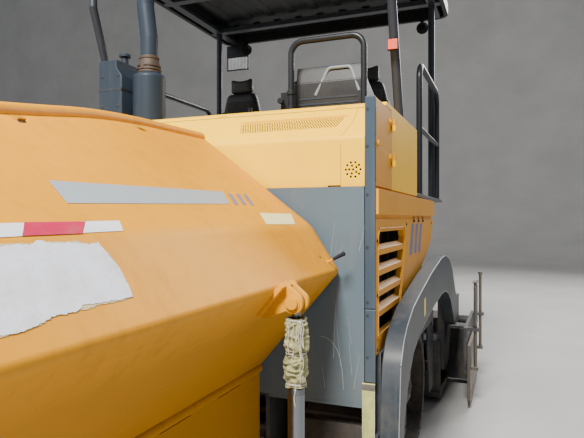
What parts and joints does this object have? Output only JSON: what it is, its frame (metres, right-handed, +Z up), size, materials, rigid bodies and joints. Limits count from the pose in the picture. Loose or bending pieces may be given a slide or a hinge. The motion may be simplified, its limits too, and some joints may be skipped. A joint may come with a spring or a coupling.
{
  "type": "asphalt paver",
  "caption": "Tracked asphalt paver with folding hopper wings, push rollers, twin augers, canopied operator platform and a towed extending screed.",
  "frame": {"origin": "centre of the footprint, on the ground under the tracks", "axes": "+Y backwards towards the screed, +X to the machine's left, +Z up"},
  "size_m": [3.14, 6.65, 3.85],
  "materials": {
    "yellow_paint": "semi-gloss",
    "grey_paint": "semi-gloss",
    "dark_paint": "satin",
    "bare_steel": "worn",
    "chrome_rod": "polished",
    "track_rubber": "matte",
    "cloth": "matte",
    "seat_cover": "matte",
    "black_plastic": "matte",
    "lamp_orange": "gloss",
    "soft_flap": "matte",
    "cast_iron": "rough"
  },
  "bodies": {
    "tractor": {"chassis": "dark_paint", "tunnel": "dark_paint", "fenders": "dark_paint", "ram_feet": "dark_paint", "tow_guides": "grey_paint", "auger_case": "dark_paint", "ladder": "dark_paint", "engine_block": "cast_iron", "firewall": "grey_paint", "hood": "yellow_paint", "side_panels": "yellow_paint", "deck": "dark_paint", "rails": "dark_paint", "exhaust": "dark_paint", "canopy_posts": "dark_paint", "canopy_roof": "dark_paint", "lamps": "lamp_orange", "track_left": "track_rubber", "track_right": "track_rubber", "track_frames": "dark_paint", "conveyor": "bare_steel", "hopper_sides": "yellow_paint", "auger_shields": "grey_paint", "flaps": "soft_flap"},
    "push_beam": {"push_beam": "yellow_paint"},
    "apron": {"apron": "yellow_paint"},
    "screed": {"tow_arms": "grey_paint", "screed": "dark_paint", "walkway": "dark_paint"},
    "console": {"console": "black_plastic"},
    "wing_left": {"wing_left": "yellow_paint"},
    "ram_barrel_left": {"ram_barrel_left": "dark_paint"},
    "ram_stage_left": {"ram_stage_left": "chrome_rod", "sleeve_left": "cloth"},
    "ram_rod_left": {"ram_rod_left": "chrome_rod"},
    "push_roller_left": {"push_roller_left": "bare_steel"},
    "auger_left": {"auger_left": "bare_steel"},
    "lift_barrel_left": {"lift_barrel_left": "dark_paint"},
    "lift_rod_left": {"lift_rod_left": "chrome_rod"},
    "extension_left": {"extension_left": "dark_paint"},
    "end_plate_left": {"end_plate_left": "bare_steel"},
    "door_left": {"door_left": "yellow_paint"},
    "seat_left": {"seat_left": "seat_cover"},
    "wing_right": {"wing_right": "yellow_paint"},
    "ram_barrel_right": {"ram_barrel_right": "dark_paint"},
    "ram_stage_right": {"ram_stage_right": "chrome_rod", "sleeve_right": "cloth"},
    "ram_rod_right": {"ram_rod_right": "chrome_rod"},
    "push_roller_right": {"push_roller_right": "bare_steel"},
    "auger_right": {"auger_right": "bare_steel"},
    "lift_barrel_right": {"lift_barrel_right": "dark_paint"},
    "lift_rod_right": {"lift_rod_right": "chrome_rod"},
    "extension_right": {"extension_right": "dark_paint"},
    "end_plate_right": {"end_plate_right": "bare_steel"},
    "door_right": {"door_right": "yellow_paint"},
    "seat_right": {"seat_right": "seat_cover"}
  },
  "joints": [
    {"name": "wing_fold_left", "type": "hinge", "parent": "tractor", "child": "wing_left", "pos_m": [0.68, -1.825, 0.93], "axis": [0, 1, 0], "range_deg": [0, 50]},
    {"name": "ram_tilt_left", "type": "hinge", "parent": "tractor", "child": "ram_barrel_left", "pos_m": [1.13719, -1.475, 0.3], "axis": [0, 1, 0], "range_deg": [0, 17.09]},
    {"name": "ram_stage_slide_left", "type": "slide", "parent": "ram_barrel_left", "child": "ram_stage_left", "axis": [0, 0, 1], "range_m": [-0.301, 0]},
    {"name": "ram_rod_slide_left", "type": "slide", "parent": "ram_stage_left", "child": "ram_rod_left", "axis": [0, 0, 1], "range_m": [-0.182, 0], "deforming": ["sleeve_left"]},
    {"name": "push_roller_spin_left", "type": "hinge", "parent": "push_beam", "child": "push_roller_left", "pos_m": [0.4, -3.25, 0.52], "axis": [1, 0, 0], "continuous": true},
    {"name": "auger_spin_left", "type": "hinge", "parent": "tractor", "child": "auger_left", "pos_m": [0.6, 1.565, 0.4], "axis": [1, 0, 0], "continuous": true},
    {"name": "lift_tilt_left", "type": "hinge", "parent": "tractor", "child": "lift_barrel_left", "pos_m": [1, 1.375, 1.65], "axis": [1, 0, 0], "range_deg": [0, 10.08]},
    {"name": "lift_slide_left", "type": "slide", "parent": "lift_barrel_left", "child": "lift_rod_left", "axis": [0, 0.5257, -0.8507], "range_m": [-0.292, 0]},
    {"name": "extension_slide_left", "type": "slide", "parent": "screed", "child": "extension_left", "axis": [1, 0, 0], "range_m": [0, 1]},
    {"name": "end_plate_lift_left", "type": "slide", "parent": "extension_left", "child": "end_plate_left", "axis": [0, 0, 1], "range_m": [0, 0.1]},
    {"name": "door_swing_left", "type": "hinge", "parent": "tractor", "child": "door_left", "pos_m": [1.262, -0.407, 2], "axis": [0, 0, 1], "range_deg": [0, 100]},
    {"name": "seat_turn_left", "type": "hinge", "parent": "tractor", "child": "seat_left", "pos_m": [0.62, 1.375, 2.2], "axis": [0, 0, 1], "range_deg": [-90, 90]},
    {"name": "wing_fold_right", "type": "hinge", "parent": "tractor", "child": "wing_right", "pos_m": [-0.68, -1.825, 0.93], "axis": [0, -1, 0], "range_deg": [0, 50]},
    {"name": "ram_tilt_right", "type": "hinge", "parent": "tractor", "child": "ram_barrel_right", "pos_m": [-1.13719, -1.475, 0.3], "axis": [0, -1, 0], "range_deg": [0, 17.09]},
    {"name": "ram_stage_slide_right", "type": "slide", "parent": "ram_barrel_right", "child": "ram_stage_right", "axis": [0, 0, 1], "range_m": [-0.301, 0]},
    {"name": "ram_rod_slide_right", "type": "slide", "parent": "ram_stage_right", "child": "ram_rod_right", "axis": [0, 0, 1], "range_m": [-0.182, 0], "deforming": ["sleeve_right"]},
    {"name": "push_roller_spin_right", "type": "hinge", "parent": "push_beam", "child": "push_roller_right", "pos_m": [-0.4, -3.25, 0.52], "axis": [1, 0, 0], "continuous": true},
    {"name": "auger_spin_right", "type": "hinge", "parent": "tractor", "child": "auger_right", "pos_m": [-0.6, 1.565, 0.4], "axis": [1, 0, 0], "continuous": true},
    {"name": "lift_tilt_right", "type": "hinge", "parent": "tractor", "child": "lift_barrel_right", "pos_m": [-1, 1.375, 1.65], "axis": [1, 0, 0], "range_deg": [0, 10.08]},
    {"name": "lift_slide_right", "type": "slide", "parent": "lift_barrel_right", "child": "lift_rod_right", "axis": [0, 0.5257, -0.8507], "range_m": [-0.292, 0]},
    {"name": "extension_slide_right", "type": "slide", "parent": "screed", "child": "extension_right", "axis": [-1, 0, 0], "range_m": [0, 1]},
    {"name": "end_plate_lift_right", "type": "slide", "parent": "extension_right", "child": "end_plate_right", "axis": [0, 0, 1], "range_m": [0, 0.1]},
    {"name": "door_swing_right", "type": "hinge", "parent": "tractor", "child": "door_right", "pos_m": [-1.262, -0.407, 2], "axis": [0, 0, -1], "range_deg": [0, 100]},
    {"name": "seat_turn_right", "type": "hinge", "parent": "tractor", "child": "seat_right", "pos_m": [-0.62, 1.375, 2.2], "axis": [0, 0, 1], "range_deg": [-90, 90]},
    {"name": "push_beam_pivot", "type": "hinge", "parent": "tractor", "child": "push_beam", "pos_m": [0, -3.05, 0.52], "axis": [0, 0, 1], "range_deg": [-8, 8]},
    {"name": "apron_fold", "type": "hinge", "parent": "tractor", "child": "apron", "pos_m": [0, -2.875, 0.522], "axis": [1, 0, 0], "range_deg": [0, 50]},
    {"name": "screed_lift", "type": "hinge", "parent": "tractor", "child": "screed", "pos_m": [0, -0.73, 0.56], "axis": [1, 0, 0], "range_deg": [0, 7]},
    {"name": "console_slide", "type": "slide", "parent": "tractor", "child": "console", "axis": [1, 0, 0], "range_m": [-1.15, 0.05]}
  ],
  "couplings": [
    {"joint": "ram_tilt_left", "follows": "wing_fold_left", "ratio": 0.33975},
    {"joint": "ram_stage_slide_left", "follows": "wing_fold_left", "m_per_rad": -0.34377},
    {"joint": "ram_rod_slide_left", "follows": "wing_fold_left", "m_per_rad": -0.20702},
    {"joint": "lift_tilt_left", "follows": "screed_lift", "ratio": 1.4251},
    {"joint": "lift_slide_left", "follows": "screed_lift", "m_per_rad": -2.3385},
    {"joint": "ram_tilt_right", "follows": "wing_fold_right", "ratio": 0.33975},
    {"joint": "ram_stage_slide_right", "follows": "wing_fold_right", "m_per_rad": -0.34377},
    {"joint": "ram_rod_slide_right", "follows": "wing_fold_right", "m_per_rad": -0.20702},
    {"joint": "lift_tilt_right", "follows": "screed_lift", "ratio": 1.4251},
    {"joint": "lift_slide_right", "follows": "screed_lift", "m_per_rad": -2.3385}
  ]
}
